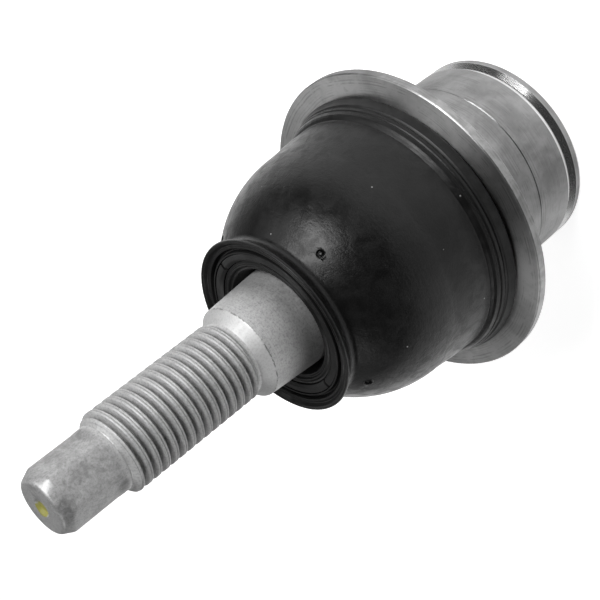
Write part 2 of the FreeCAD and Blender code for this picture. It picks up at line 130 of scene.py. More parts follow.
def round_corners(corners, closed=True):
    """(radius, height, round) corners in mm, as points with an arc at each corner."""
    spots = [np.array(corner[:2], float) for corner in corners]
    points = []
    for index, spot in enumerate(spots):
        fillet = corners[index][2]
        if fillet == 0 or (not closed and index in (0, len(spots) - 1)):
            points.append(spot)
            continue
        back = spots[index - 1] - spot
        ahead = spots[(index + 1) % len(spots)] - spot
        back_length, ahead_length = np.linalg.norm(back), np.linalg.norm(ahead)
        back, ahead = back / back_length, ahead / ahead_length
        half = math.acos(np.clip(back @ ahead, -1, 1)) / 2
        reach = min(fillet / math.tan(half), EDGE_SHARE * back_length, EDGE_SHARE * ahead_length)
        radius = reach * math.tan(half)
        centre = spot + (back + ahead) / np.linalg.norm(back + ahead) * radius / math.sin(half)
        first, last = spot + back * reach - centre, spot + ahead * reach - centre
        sweep = math.pi - 2 * half
        for step in range(ARC_STEPS + 1):
            share = step / ARC_STEPS
            arm = first * math.sin((1 - share) * sweep) + last * math.sin(share * sweep)
            points.append(centre + arm / math.sin(sweep))
    return points


square = [(1, 0, 0.2), (5, 0, 0.2), (5, 4, 0.2), (1, 4, 0.2)]
print("four rounded corners make", len(round_corners(square)), "points")

# %% Guard the flats beside the rounds
GUARD = 0.1
LONG_RUN = 5 * GUARD


def guard_flats(points, closed=True):
    """The points, with one more close to each end of every long straight run."""
    guarded = []
    for index, point in enumerate(points):
        guarded.append(point)
        if not closed and index == len(points) - 1:
            break
        run = points[(index + 1) % len(points)] - point
        length = np.linalg.norm(run)
        if length > LONG_RUN:
            guarded.append(point + run * GUARD / length)
            guarded.append(point + run * (1 - GUARD / length))
    return guarded


print("and with their guards", len(guard_flats(round_corners(square))), "points")

# %% Weld a mesh and put it in the scene
WELD = 2e-6


def shade_smooth(mesh):
    """Smooth shading on every face."""
    mesh.polygons.foreach_set("use_smooth", [True] * len(mesh.polygons))


def as_object(name, mesh):
    """The mesh as a smooth-shaded object in the scene, at the origin."""
    shade_smooth(mesh)
    piece = bpy.data.objects.new(name, mesh)
    bpy.context.scene.collection.objects.link(piece)
    return piece


def close_up(mesh):
    """Welds doubled points and turns every face outwards."""
    shell = bmesh.new()
    shell.from_mesh(mesh)
    bmesh.ops.remove_doubles(shell, verts=shell.verts, dist=WELD)
    bmesh.ops.dissolve_degenerate(shell, dist=WELD / 2, edges=shell.edges)
    bmesh.ops.recalc_face_normals(shell, faces=shell.faces)
    shell.to_mesh(mesh)
    shell.free()
    mesh.update()
    return mesh


print("points closer than", WELD / MM, "mm are welded")

# %% Turn an outline about the axis
SIDES = 180


def ring_mesh(name, points, closed=True, sides=SIDES, reach=None):
    """A mesh of rings: each point (radius, height) in mm goes round the axis once."""
    angles = np.arange(sides) * 2 * math.pi / sides
    places = []
    for radius, height in points:
        around = np.full(sides, radius) if reach is None else reach(angles, radius, height)
        places.append(np.stack([around * np.cos(angles), around * np.sin(angles),
                                np.full(sides, height)], axis=1))
    places = np.concatenate(places) * MM
    faces = []
    rows = len(points)
    for row in range(rows if closed else rows - 1):
        below, above = row * sides, (row + 1) % rows * sides
        for side in range(sides):
            following = (side + 1) % sides
            faces.append((below + side, below + following, above + following, above + side))
    mesh = bpy.data.meshes.new(name)
    mesh.from_pydata(places.tolist(), [], faces)
    return mesh


def turn(name, corners, closed=True, sides=SIDES):
    """A finished round piece from the corners of its outline."""
    points = guard_flats(round_corners(corners, closed), closed)
    piece = as_object(name, close_up(ring_mesh(name, points, closed, sides)))
    print(f"{name}: {len(points)} rings, {len(piece.data.polygons)} faces")
    return piece


# %% [markdown]
# ## The housing
#
# One steel forging, finished on a lathe: a flange that stops it in the arm, a barrel with a slightly
# larger land at its root that the arm grips, a groove for a retaining ring, and behind that a rim
# whose far edge is rolled over the cover plate. Its outline follows the solid, with the small edge
# breaks that a lathe leaves.

# %% Turn the housing
low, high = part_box("housing")
flange_r = high.x / MM
barrel_end = low.z / MM
collar_top = high.z / MM
flange_front = FLANGE_FRONT / MM
GROOVE_FAR, GROOVE_MIDDLE, GROOVE_NEAR = -27.65, -26.3, -24.9
housing = turn("housing_turned", [
    (16.73, barrel_end, 0.15),
    (21.1, barrel_end, 0.8),
    (21.1, GROOVE_FAR, 0.12),
    (20.1, -26.25, 1.0),
    (20.1, -25.1, 0.5),
    (21.1, GROOVE_NEAR, 0.12),
    (21.1, -15.75, 0.05),
    (20.95, -15.6, 0.05),
    (20.95, -15.3, 0.05),
    (21.35, -15.15, 0.08),
    (21.35, 0, 0.2),
    (flange_r - 0.35, 0, 0.1),
    (flange_r, 0.35, 0.12),
    (flange_r, flange_front - 0.25, 0.1),
    (flange_r - 0.25, flange_front, 0.1),
    (25.6, flange_front, 0.1),
    (25.6, 3.2, 0.1),
    (24.8, 3.2, 0.1),
    (24.8, 5.0, 0.1),
    (25.6, 5.0, 0.1),
    (25.6, 5.2, 0.05),
    (24.4, collar_top, 0.1),
    (18.07, collar_top, 0.2),
    (14.45, -0.4, 0.2),
    (14.45, -2.9, 0.1),
    (17.43, -2.9, 0.1),
    (17.43, -24.3, 0.1),
    (18.33, -24.3, 0.1),
    (18.33, -27.1, 0.1),
    (15.73, -27.1, 0.1),
    (15.73, -28.4, 0.1),
])

# %% [markdown]
# ## The stud
#
# The stud starts as a forging whose ball, flare, sealing land and taper are turned, so they are one
# outline again. Its end is a hexagon, which holds the stud still while the nut is turned. The hexagon
# is the same turned shape pressed flat six times: at each angle the radius is the round one or the
# distance to the flat, whichever is less. That gives the soft, plated corners of the real one, which a
# hexagonal prism would not.

# %% Sizes of the stud, and the arc of its ball
BALL_HEIGHT = -8.8
BALL_R = 15.0
BALL_FOOT = 12.6
TAPER_END = 48.3
CONE_END = 50.3
THREAD_START = 51.1
THREAD_END = 80.6
UNDERCUT_R = 7.45
HEX_CORNER_R = 6.6
HEX_HALF_FLATS = 6.0
HEX_RUNOUT = 3.0
RUNOUT_STEPS = 12
HEX_TURN = math.radians(21.0)
HEX_SOFTNESS = 0.8
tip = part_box("ball_stud")[1].z / MM


def ball_arc(start, end, steps):
    """Points on the ball from one height over its centre to another, as corners with no round."""
    lifts = np.linspace(math.asin(start / BALL_R), math.asin(end / BALL_R), steps)
    return [(BALL_R * math.cos(lift), BALL_HEIGHT + BALL_R * math.sin(lift), 0) for lift in lifts]


print("the stud's tip stands", round(tip, 1), "mm above the flange's seat")

# %% Press the flats of the hexagon
def hexagon_reach(angles, radius, height):
    """Radius at each angle: the turned one, pressed back to the flats above their run-out."""
    if height <= THREAD_END + 1e-6 or radius == 0:
        return np.full(len(angles), radius)
    rise = max(0.0, THREAD_END + HEX_RUNOUT - height)
    flat = HEX_HALF_FLATS + HEX_RUNOUT - math.sqrt(HEX_RUNOUT ** 2 - rise ** 2)
    off = (angles - HEX_TURN + math.pi / 6) % (math.pi / 3) - math.pi / 6
    pressed = flat / np.cos(off)
    soft = np.maximum(HEX_SOFTNESS - np.abs(radius - pressed), 0) ** 2 / (4 * HEX_SOFTNESS)
    return np.minimum(radius, pressed) - soft


mid_flat = hexagon_reach(np.array([HEX_TURN]), HEX_CORNER_R, tip - 3)[0]
print("across the flats:", round(2 * mid_flat, 2), "mm")

# %% Turn the stud up to its thread, and the hexagon beyond it
lower = [(0, BALL_HEIGHT - BALL_FOOT, 0), (8.14, BALL_HEIGHT - BALL_FOOT, 0.3)]
lower += ball_arc(-12.4, 11.87, 40)
lower += [
    (8.2, 3.82, 2.5),
    (8.2, 11.2, 6.0),
    (10.25, 21.2, 6.0),
    (10.25, 35.5, 8.0),
    (9.45, TAPER_END, 0.25),
    (UNDERCUT_R, CONE_END, 0.3),
    (UNDERCUT_R, THREAD_START, 0),
]
upper = [(HEX_CORNER_R, THREAD_END, 0)]
upper += [(HEX_CORNER_R, THREAD_END + HEX_RUNOUT * step / RUNOUT_STEPS, 0)
          for step in range(1, RUNOUT_STEPS + 1)]
upper += [
    (HEX_CORNER_R, tip - 2.2, 1.4),
    (5.35, tip, 0.9),
    (1.8, tip, 0.1),
    (1.2, tip - 0.6, 0.1),
    (0, tip - 0.6, 0),
]
lower_points = guard_flats(round_corners(lower, closed=False), closed=False)
upper_points = guard_flats(round_corners(upper, closed=False), closed=False)
stud = as_object("stud_forging", ring_mesh("stud_forging", lower_points, closed=False))
hexagon_end = ring_mesh("hexagon_end", upper_points, closed=False, reach=hexagon_reach)
joined = bmesh.new()
joined.from_mesh(stud.data)
joined.from_mesh(hexagon_end)
joined.to_mesh(stud.data)
joined.free()
print("the stud's two turned ends:", len(stud.data.polygons), "faces")

# %% [markdown]
# ## The rolled thread
#
# The nut's thread is M16 with a pitch of 2 mm. It is rolled, not cut: dies press the blank until metal
# flows up into the crests, which leaves rounded crests with a fine seam along them. It could be a
# ridge swept along a helix, but that leaves loose ends. Here a grid is wrapped round the stud by
# Geometry Nodes. Each of its rows climbs one pitch in a turn, so every crest and root lies exactly on a
# row, and the heights are held between the two ends, where the grid closes onto the turned rings.

# %% Helpers that add nodes and join them
def plug(tree, given, socket):
    """Joins another socket to this input, or sets its own value."""
    if isinstance(given, bpy.types.NodeSocket):
        tree.links.new(given, socket)
    else:
        socket.default_value = given


def add(tree, kind, inputs=None, **settings):
    """A new node with its settings, and its inputs plugged by name or number."""
    made = tree.nodes.new(kind)
    for key, setting in settings.items():
        setattr(made, key, setting)
    for key, given in (inputs or {}).items():
        plug(tree, given, made.inputs[key])
    return made


def maths(tree, operation, *given):
    """The result of a Math node on sockets or numbers."""
    return add(tree, "ShaderNodeMath", dict(enumerate(given)), operation=operation).outputs[0]


def times(tree, *factors):
    """The product of sockets and numbers, in their order."""
    product = factors[0]
    for factor in factors[1:]:
        product = maths(tree, "MULTIPLY", product, factor)
    return product


def parts_of(tree, place):
    """The X, Y and Z of a place."""
    return add(tree, "ShaderNodeSeparateXYZ", {0: place}).outputs


def ramp(tree, given, start, end, low=0.0, high=1.0, smooth=False):
    """A value mapped from start..end to low..high, and held there beyond both."""
    made = add(tree, "ShaderNodeMapRange",
               {"Value": given, "From Min": start, "From Max": end, "To Min": low, "To Max": high},
               interpolation_type="SMOOTHSTEP" if smooth else "LINEAR")
    return made.outputs["Result"]


print("node helpers: plug, add, maths, times, parts_of, ramp")

# %% Helpers for the sockets of a tree, and to run it
def sockets(tree, **wanted):
    """Named inputs and outputs of a node group: name=(in or out, kind)."""
    for name, (way, kind) in wanted.items():
        tree.interface.new_socket(name=name.replace("_", " "), in_out=way, socket_type=kind)


def run_nodes(piece, tree, values):
    """Runs the node tree on the piece and keeps the result as its plain mesh."""
    modifier = piece.modifiers.new(tree.name, "NODES")
    modifier.node_group = tree
    for item in tree.interface.items_tree:
        if item.item_type == "SOCKET" and item.in_out == "INPUT" and item.name in values:
            modifier[item.identifier] = values[item.name]
    graph = bpy.context.evaluated_depsgraph_get()
    mesh = bpy.data.meshes.new_from_object(piece.evaluated_get(graph))
    piece.modifiers.remove(modifier)
    piece.data = mesh
    return mesh


IN, OUT = "INPUT", "OUTPUT"
FLOAT, WHOLE, VECTOR = "NodeSocketFloat", "NodeSocketInt", "NodeSocketVector"
GEOMETRY, MATERIAL = "NodeSocketGeometry", "NodeSocketMaterial"
print("kinds of socket:", FLOAT, WHOLE, VECTOR, GEOMETRY, MATERIAL)

# %% The thread's node tree: its sizes and its grid
rolled_thread = bpy.data.node_groups.new("rolled_thread", "GeometryNodeTree")
sockets(rolled_thread, Geometry=(IN, GEOMETRY))
for size in ("Crest Radius", "Root Radius", "Pitch", "Start", "End", "Start Radius", "End Radius",
             "Lead", "Seam Depth", "Turned By"):
    sockets(rolled_thread, **{size: (IN, FLOAT)})
sockets(rolled_thread, Sides=(IN, WHOLE), Rows=(IN, WHOLE), Finish=(IN, MATERIAL), Result=(OUT, GEOMETRY))
t = rolled_thread
given = t.nodes.new("NodeGroupInput").outputs
length = maths(t, "SUBTRACT", given["End"], given["Start"])
turns = maths(t, "ADD", maths(t, "CEIL", maths(t, "DIVIDE", length, given["Pitch"])), 2.0)
grid = add(t, "GeometryNodeMeshGrid", {
    "Size X": 1.0, "Size Y": 1.0,
    "Vertices X": maths(t, "ADD", given["Sides"], 1.0),
    "Vertices Y": maths(t, "ADD", times(t, turns, given["Rows"]), 1.0)})
parts = parts_of(t, t.nodes.new("GeometryNodeInputPosition").outputs[0])
around = maths(t, "ADD", parts["X"], 0.5)
climb = times(t, maths(t, "ADD", parts["Y"], 0.5), turns)
print("the grid is", len(t.nodes), "nodes so far")

# %% The thread's node tree: the height and radius of each point
FLANK_FROM, FLANK_TO = 0.12, 0.62
SEAM_FROM = 0.87


def near_crest(tree, climb):
    """1 where the climb reaches a whole turn, which is a crest, and 0 in the root half-way."""
    past_crest = times(tree, maths(tree, "FRACT", climb), 2.0)
    return maths(tree, "ABSOLUTE", maths(tree, "SUBTRACT", past_crest, 1.0))


crest = near_crest(t, climb)
rise = maths(t, "SUBTRACT", maths(t, "ADD", maths(t, "ADD", climb, around), given["Turned By"]), 1.0)
height = maths(t, "ADD", given["Start"], times(t, rise, given["Pitch"]))
height = maths(t, "MINIMUM", maths(t, "MAXIMUM", height, given["Start"]), given["End"])
fade_end = maths(t, "ADD", given["Start"], given["Pitch"])
root = ramp(t, height, given["Start"], fade_end, given["Start Radius"], given["Root Radius"])
flank = ramp(t, crest, FLANK_FROM, FLANK_TO)
radius = maths(t, "ADD", root, times(t, flank, maths(t, "SUBTRACT", given["Crest Radius"], root)))
radius = maths(t, "SUBTRACT", radius, times(t, ramp(t, crest, SEAM_FROM, 1.0), given["Seam Depth"]))
first_lead = maths(t, "ADD", given["Start Radius"], maths(t, "SUBTRACT", height, given["Start"]))
slope = maths(t, "DIVIDE", maths(t, "SUBTRACT", given["Crest Radius"], given["End Radius"]), given["Lead"])
last_lead = maths(t, "ADD", given["End Radius"], times(t, maths(t, "SUBTRACT", given["End"], height), slope))
radius = maths(t, "MINIMUM", radius, maths(t, "MINIMUM", first_lead, last_lead))
print("with heights and radii:", len(t.nodes), "nodes")

# %% The thread's node tree: wrap the grid and weld it to the turned ends
angle = times(t, around, 2 * math.pi)
spot = add(t, "ShaderNodeCombineXYZ", {
    "X": times(t, radius, maths(t, "COSINE", angle)),
    "Y": times(t, radius, maths(t, "SINE", angle)), "Z": height})
spot = add(t, "ShaderNodeVectorMath", {0: spot.outputs[0], "Scale": MM}, operation="SCALE")
wrapped = add(t, "GeometryNodeSetPosition", {"Geometry": grid.outputs["Mesh"], "Position": spot.outputs[0]})
both = t.nodes.new("GeometryNodeJoinGeometry")
t.links.new(wrapped.outputs[0], both.inputs[0])
t.links.new(given["Geometry"], both.inputs[0])
welded = add(t, "GeometryNodeMergeByDistance", {"Geometry": both.outputs[0], "Distance": WELD})
real = add(t, "GeometryNodeRealizeInstances", {"Geometry": welded.outputs[0]})
coated = add(t, "GeometryNodeSetMaterial", {"Geometry": real.outputs[0], "Material": given["Finish"]})
t.links.new(coated.outputs[0], t.nodes.new("NodeGroupOutput").inputs[0])
print("thread tree:", len(t.nodes), "nodes")

# %% Roll the thread onto the stud
stud_metal = bpy.data.materials.new("plated_forging")
THREAD_PITCH = 2.0
THREAD_TURNED_BY = -0.35
run_nodes(stud, rolled_thread, {
    "Crest Radius": 8.0, "Root Radius": 6.78, "Pitch": THREAD_PITCH, "Start": THREAD_START, "End": THREAD_END,
    "Start Radius": UNDERCUT_R, "End Radius": HEX_CORNER_R, "Lead": 1.2, "Seam Depth": 0.16,
    "Turned By": THREAD_TURNED_BY, "Sides": SIDES, "Rows": 16, "Finish": stud_metal})
close_up(stud.data)
shade_smooth(stud.data)
print("stud:", len(stud.data.polygons), "faces, top at", round(max(v.co.z for v in stud.data.vertices) / MM, 2))

# %% [markdown]
# ## The boot
#
# A moulded rubber boot: its foot is squeezed on the housing's collar, its bulb leaves room for the
# swing, and its neck runs on the stud with a flared lip and a few fine ridges in the mouth. Below the
# bulb's widest level the wall is drawn out like a bell, down to a small step above the foot. It could be
# one piece, but the stud swings about two crossed hinges, so the boot is made in two turned halves that
# meet near that level.

# %% The bulb, and the bell-shaped wall below it
BULB_CENTRE = (1.6, 17.7)
BULB_R = 24.0
INNER_R = 21.8
SEAM_HEIGHT = 19.0
SKIRT_FOOT = 8.2


def bulb(radius, start, end, steps=1):
    """Points on a bulb wall from one height to another."""
    sweep = np.linspace(math.asin((start - BULB_CENTRE[1]) / radius),
                        math.asin((end - BULB_CENTRE[1]) / radius), steps)
    return [(BULB_CENTRE[0] + radius * math.cos(a), BULB_CENTRE[1] + radius * math.sin(a), 0) for a in sweep]


def skirt(steps=12, low=8.6, high=18.0, flare=2.6):
    """The wall below the bulb's middle: the bulb's own round, drawn out towards the foot."""
    wall = []
    for z in np.linspace(low, high, steps):
        round_reach = BULB_CENTRE[0] + math.sqrt(BULB_R ** 2 - (z - BULB_CENTRE[1]) ** 2)
        wall.append((round_reach + flare * ((high - z) / (high - SKIRT_FOOT)) ** 1.5, z, 0))
    return wall


print("from the axis, the bulb reaches", BULB_CENTRE[0] + BULB_R, "mm and the skirt", round(skirt()[0][0], 1))

# %% Turn the lower half
SEAM_GUARD = 0.05
seam_outside, seam_inside = (bulb(radius, SEAM_HEIGHT, SEAM_HEIGHT) for radius in (BULB_R, INNER_R))
foot = [
    (24.95, 3.35, 0.1), (25.75, 3.35, 0.1), (25.75, 2.35, 0.1),
    (27.05, 2.35, 0.3), (27.05, 4.05, 0.2), (26.65, 4.05, 0.1), (26.65, 5.45, 0.1),
    (27.8, 5.45, 0.2), (27.6, 6.25, 0.3), (27.35, 6.5, 0.15), (27.4, 6.7, 0.2),
    (27.15, 7.35, 0.4), (26.8, 7.75, 0.4), (26.25, 8.15, 0.35),
]
hollow_of_foot = [(25.75, 6.5, 0.5), (25.75, 4.85, 0.1), (24.95, 4.85, 0.1)]
lower_half = foot + skirt() + bulb(BULB_R, 18.4, SEAM_HEIGHT - SEAM_GUARD, 3) + seam_outside
lower_half += seam_inside + bulb(INNER_R, SEAM_HEIGHT - SEAM_GUARD, 11.2, 10) + hollow_of_foot
boot_lower = turn("boot_lower_half", lower_half)

# %% Turn the upper half, with the lip and ridges of the mouth
mouth = [
    (16.55, 36.75, 1.5),
    (18.55, 39.35, 0.5), (18.35, 39.95, 0.25), (17.75, 39.75, 0.3), (17.2, 38.95, 0.3),
    (16.85, 39.25, 0.15), (16.5, 39.2, 0.15), (16.1, 38.3, 0.15), (15.8, 38.3, 0.1), (15.62, 39.15, 0.12),
    (15.3, 39.15, 0.08), (15.3, 37.4, 0.05), (13.4, 37.4, 0.05), (13.4, 38.5, 0.1),
    (12.95, 38.3, 0.2), (12.45, 38.75, 0.25), (12.05, 38.0, 0.2), (11.6, 38.3, 0.25), (11.2, 37.3, 0.2),
    (10.45, 35.6, 0.3), (10.4, 33.6, 0.3), (12.6, 32.5, 0.5), (16.5, 33.6, 1.0),
]
upper_half = seam_outside + bulb(BULB_R, SEAM_HEIGHT + SEAM_GUARD, 34.2, 20) + mouth
upper_half += bulb(INNER_R, 32.5, SEAM_HEIGHT + SEAM_GUARD, 12) + seam_inside
boot_upper = turn("boot_upper_half", upper_half)

# %% Keep the cut between the halves sharp
def sharpen_seam(mesh):
    """Keeps the smooth shading of the bulb off the cut between the halves."""
    for edge in mesh.edges:
        ends = [mesh.vertices[index].co.z / MM for index in edge.vertices]
        edge.use_edge_sharp = max(abs(end - SEAM_HEIGHT) for end in ends) < 0.001


for half in (boot_lower, boot_upper):
    sharpen_seam(half.data)
    print(half.name, "has", sum(edge.use_edge_sharp for edge in half.data.edges), "sharp edges")

# %% [markdown]
# ## Gate marks
#
# Rubber is shot into its mould through small gates, and each leaves a little pit with a stub in it. They
# could be cut with a Boolean modifier, but its ragged faces would show in the highlights. Here the grid
# itself is opened: one point and its four faces go, the hole's edge is drawn onto a circle, and rings of
# new points lead down into the pit. Four marks lie a quarter turn apart.

# %% Where a mark lies, and a hole in the grid there
PIT_HEIGHT = 33.7
FIRST_PIT = 8.0


def onto_bulb(place):
    """The point of the bulb's outside closest to a place, and the way out of the rubber there."""
    round_axis = Vector((place.x, place.y, 0)).normalized()
    core = round_axis * BULB_CENTRE[0] * MM + Vector((0, 0, BULB_CENTRE[1] * MM))
    outward = (place - core).normalized()
    return core + outward * BULB_R * MM, outward


def pit_centre(degrees):
    """The middle of a mark at that angle round the axis, and the way out of the rubber there."""
    angle = math.radians(degrees)
    level = math.sqrt(BULB_R ** 2 - (PIT_HEIGHT - BULB_CENTRE[1]) ** 2) + BULB_CENTRE[0]
    return onto_bulb(Vector((level * math.cos(angle), level * math.sin(angle), PIT_HEIGHT)) * MM)


def open_grid(shell, centre):
    """Takes out the grid's point closest to the centre, and gives those on the edge of the hole."""
    shell.verts.ensure_lookup_table()
    middle = min(shell.verts, key=lambda v: (v.co - centre).length)
    hole = [edge for face in middle.link_faces for edge in face.edges if middle not in edge.verts]
    bmesh.ops.delete(shell, geom=[middle], context="VERTS")
    cut = bmesh.ops.subdivide_edges(shell, edges=hole, cuts=1)
    corners = {v for edge in hole for v in edge.verts}
    return corners | {v for v in cut["geom_inner"] if isinstance(v, bmesh.types.BMVert)}


print("the first mark lies at", [round(c / MM, 1) for c in pit_centre(FIRST_PIT)[0]], "mm")

# %% Lead a hole down into a pit with a stub
PIT_RINGS = ((0.95, -0.01), (0.86, -0.05), (0.76, 0.10), (0.70, 0.42), (0.58, 0.50),
             (0.46, 0.44), (0.40, 0.22), (0.28, 0.16))


def press_pit(shell, degrees):
    """Opens the grid at that angle round the axis, and leads it down into a pit with a stub."""
    centre, outward = pit_centre(degrees)
    across = outward.orthogonal().normalized()
    along = outward.cross(across)
    bearing = {v: math.atan2((v.co - centre).dot(along), (v.co - centre).dot(across))
               for v in open_grid(shell, centre)}
    rim = sorted(bearing, key=bearing.get)
    sides = [(step, (step + 1) % len(rim)) for step in range(len(rim))]
    rings = [rim]
    for index, (reach, depth) in enumerate(PIT_RINGS):
        spots = []
        for step in range(len(rim)):
            angle = bearing[rim[0]] + step * 2 * math.pi / len(rim)
            spot = centre + (across * math.cos(angle) + along * math.sin(angle)) * reach * MM
            surface, way_out = onto_bulb(spot)
            spots.append(surface - way_out * depth * MM)
        if index == 0:
            for vertex, spot in zip(rim, spots):
                vertex.co = spot
        else:
            rings.append([shell.verts.new(spot) for spot in spots])
    for outer, inner in zip(rings, rings[1:]):
        for step, after in sides:
            shell.faces.new((outer[step], outer[after], inner[after], inner[step]))
    stub = shell.verts.new(centre - outward * PIT_RINGS[-1][1] * MM)
    for step, after in sides:
        shell.faces.new((rings[-1][step], rings[-1][after], stub))


print(len(PIT_RINGS), "rings lead from the rubber's surface to the stub")

# %% Press the four gate marks into the upper half
shell = bmesh.new()
shell.from_mesh(boot_upper.data)
for quarter in range(4):
    press_pit(shell, FIRST_PIT + quarter * 90)
bmesh.ops.recalc_face_normals(shell, faces=shell.faces)
shell.to_mesh(boot_upper.data)
print("open edges after the pits:", sum(1 for edge in shell.edges if len(edge.link_faces) != 2))
shell.free()
sharpen_seam(boot_upper.data)
shade_smooth(boot_upper.data)

# %% [markdown]
# ## The two rings
#
# A blackened ring is pressed over the boot's foot, and a thin flat one sits in its mouth. The first
# is turned like the rest, with a rim that stands a little way off the flange. The second is a flat wire
# wound round twice: it has two small notches, and the end of the upper turn shows as a slit. Both could
# be cut out with other solids, but a ring of close-set columns does it more simply: the points of its
# top are let down where a notch or the slit lies.

# %% Turn the base ring
base_ring = turn("base_ring_turned", [
    (27.15, flange_front, 0.05), (27.55, flange_front, 0.05), (27.55, 2.75, 0.1), (28.15, 2.9, 0.15),
    (28.6, 3.3, 0.3), (27.95, 5.0, 0.5), (27.5, 5.3, 0.2), (26.8, 5.3, 0.1), (26.8, 4.2, 0.1), (27.15, 4.2, 0.1),
])

# %% Wind the neck ring
ring_low, ring_high = (corner.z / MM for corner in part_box("boot_neck_ring"))
RING_INSIDE, RING_OUTSIDE = 13.5, 15.2
RING_COLUMNS = 720
NOTCH_WIDTH, NOTCH_DEPTH = 0.6, 1.5
SLIT_AT, SLIT_HALF_WIDTH, SLIT_DEPTH = 14.15, 0.1, 0.5
SLIT_FROM, SLIT_TO = -114.0, -50.0
ring_outline = [
    (RING_INSIDE, ring_low, 0.1), (RING_OUTSIDE, ring_low, 0.1), (RING_OUTSIDE, ring_high - 0.1, 0.15),
    (SLIT_AT + SLIT_HALF_WIDTH, ring_high, 0), (SLIT_AT, ring_high - 0.01, 0),
    (SLIT_AT - SLIT_HALF_WIDTH, ring_high, 0), (RING_INSIDE, ring_high - 0.45, 0.15),
]
neck_ring = turn("neck_ring_wound", ring_outline, sides=RING_COLUMNS)
for vertex in neck_ring.data.vertices:
    x, y, z = vertex.co / MM
    bearing, radius = math.degrees(math.atan2(y, x)), math.hypot(x, y)
    if z > ring_low + 0.3:
        if abs(radius - SLIT_AT) < 0.01 and SLIT_FROM < bearing < SLIT_TO:
            vertex.co.z -= SLIT_DEPTH * MM
        if abs(y) < NOTCH_WIDTH / 2:
            vertex.co.z = max(z - NOTCH_DEPTH, ring_low + 0.1) * MM
neck_ring.data.set_sharp_from_angle(angle=math.radians(40))
print("two notches", NOTCH_DEPTH, "mm deep, and a slit over", SLIT_TO - SLIT_FROM, "degrees")

# %% [markdown]
# ## Effects that several finishes share
#
# Turned and ground steel shows fine rings round the axis, and every real surface has soft stains and
# small specks. An image could hold them, but then it would need unwrapping, and it would blur close up.
# Three node groups make them instead from the piece's own coordinates: thin rings that waver, soft
# blotches, and scattered specks. Each finish places those that it needs with its own values.

# %% Helpers for node groups
def shader_group(name, **wanted):
    """An empty shader group with its interface, and its input sockets."""
    tree = bpy.data.node_groups.new(name, "ShaderNodeTree")
    sockets(tree, **wanted)
    return tree, tree.nodes.new("NodeGroupInput").outputs


def put_out(tree, result):
    """Joins the result to the group's output."""
    tree.links.new(result, tree.nodes.new("NodeGroupOutput").inputs[0])


def noise(tree, vector, scale, detail=3.0, rough=0.55, lean=0.0):
    """Fractal noise between 0 and 1."""
    return add(tree, "ShaderNodeTexNoise", {
        "Vector": vector, "Scale": scale, "Detail": detail, "Roughness": rough,
        "Distortion": lean}).outputs[0]


def distance(tree, first, second):
    """The distance between two places."""
    return add(tree, "ShaderNodeVectorMath", {0: first, 1: second}, operation="DISTANCE").outputs["Value"]


def from_line(tree, parts, x=0.0, y=0.0):
    """The distance from the line that stands upright on x and y, which is the axis if both are 0."""
    flat = add(tree, "ShaderNodeCombineXYZ", {"X": parts["X"], "Y": parts["Y"]})
    return distance(tree, flat.outputs[0], (x, y, 0.0))


print("helpers for groups: shader_group, put_out, noise, distance, from_line")

# %% Node groups: rings, stains and specks
turning_rings, given = shader_group("turning_rings", Place=(IN, VECTOR), Rings_per_mm=(IN, FLOAT),
                                    Waver=(IN, FLOAT), Rings=(OUT, FLOAT))
t = turning_rings
parts = parts_of(t, given["Place"])
along = maths(t, "ADD", from_line(t, parts), parts["Z"])
along = times(t, along, times(t, given["Rings per mm"], 1000.0))
drift = times(t, noise(t, given["Place"], 60.0), given["Waver"])
fine = add(t, "ShaderNodeTexNoise", {
    "W": maths(t, "ADD", along, drift), "Scale": 1.0, "Detail": 4.0, "Roughness": 0.7}, noise_dimensions="1D")
put_out(t, fine.outputs[0])

soft_stains, given = shader_group("soft_stains", Place=(IN, VECTOR), Patch_Size=(IN, FLOAT),
                                  Start=(IN, FLOAT), End=(IN, FLOAT), Stain=(OUT, FLOAT))
t = soft_stains
patches = noise(t, given["Place"], maths(t, "DIVIDE", 1.0, given["Patch Size"]), 5.0, 0.6, 0.4)
put_out(t, ramp(t, patches, given["Start"], given["End"], smooth=True))

specks, given = shader_group("specks", Place=(IN, VECTOR), Spacing=(IN, FLOAT), Size=(IN, FLOAT),
                             Share=(IN, FLOAT), Specks=(OUT, FLOAT))
t = specks
per_metre = maths(t, "DIVIDE", 1.0, given["Spacing"])
cells = add(t, "ShaderNodeTexVoronoi", {"Vector": given["Place"], "Scale": per_metre})
chosen = add(t, "ShaderNodeSeparateColor", {0: cells.outputs["Color"]})
near_spot = ramp(t, cells.outputs["Distance"], given["Size"], times(t, given["Size"], 0.4))
put_out(t, times(t, near_spot, maths(t, "LESS_THAN", chosen.outputs[0], given["Share"])))
print("groups:", [tree.name for tree in (turning_rings, soft_stains, specks)])

# %% [markdown]
# ## The finishes
#
# Seven finishes are enough: the stud's plated forging, the housing's turned steel, black rubber, the two
# rings' blackened steel, and three plainer ones for what lies inside. Every one is a Principled shader whose
# colour and roughness vary over the surface, and all but the spring steel have a bump. A flat grey would look
# like plastic under any light.

# %% Helpers that open a finish
def use_group(tree, group, place, **values):
    """A group placed in a finish, with its values, and its first output."""
    inputs = {"Place": place}
    inputs.update({name.replace("_", " "): value for name, value in values.items()})
    made = tree.nodes.new("ShaderNodeGroup")
    made.node_tree = group
    for name, value in inputs.items():
        plug(tree, value, made.inputs[name])
    return made.outputs[0]


def stain(tree, place, patch, start, end):
    """Soft stains with patches of that size in mm, where the noise rises from start to end."""
    return use_group(tree, soft_stains, place, Patch_Size=patch * MM, Start=start, End=end)


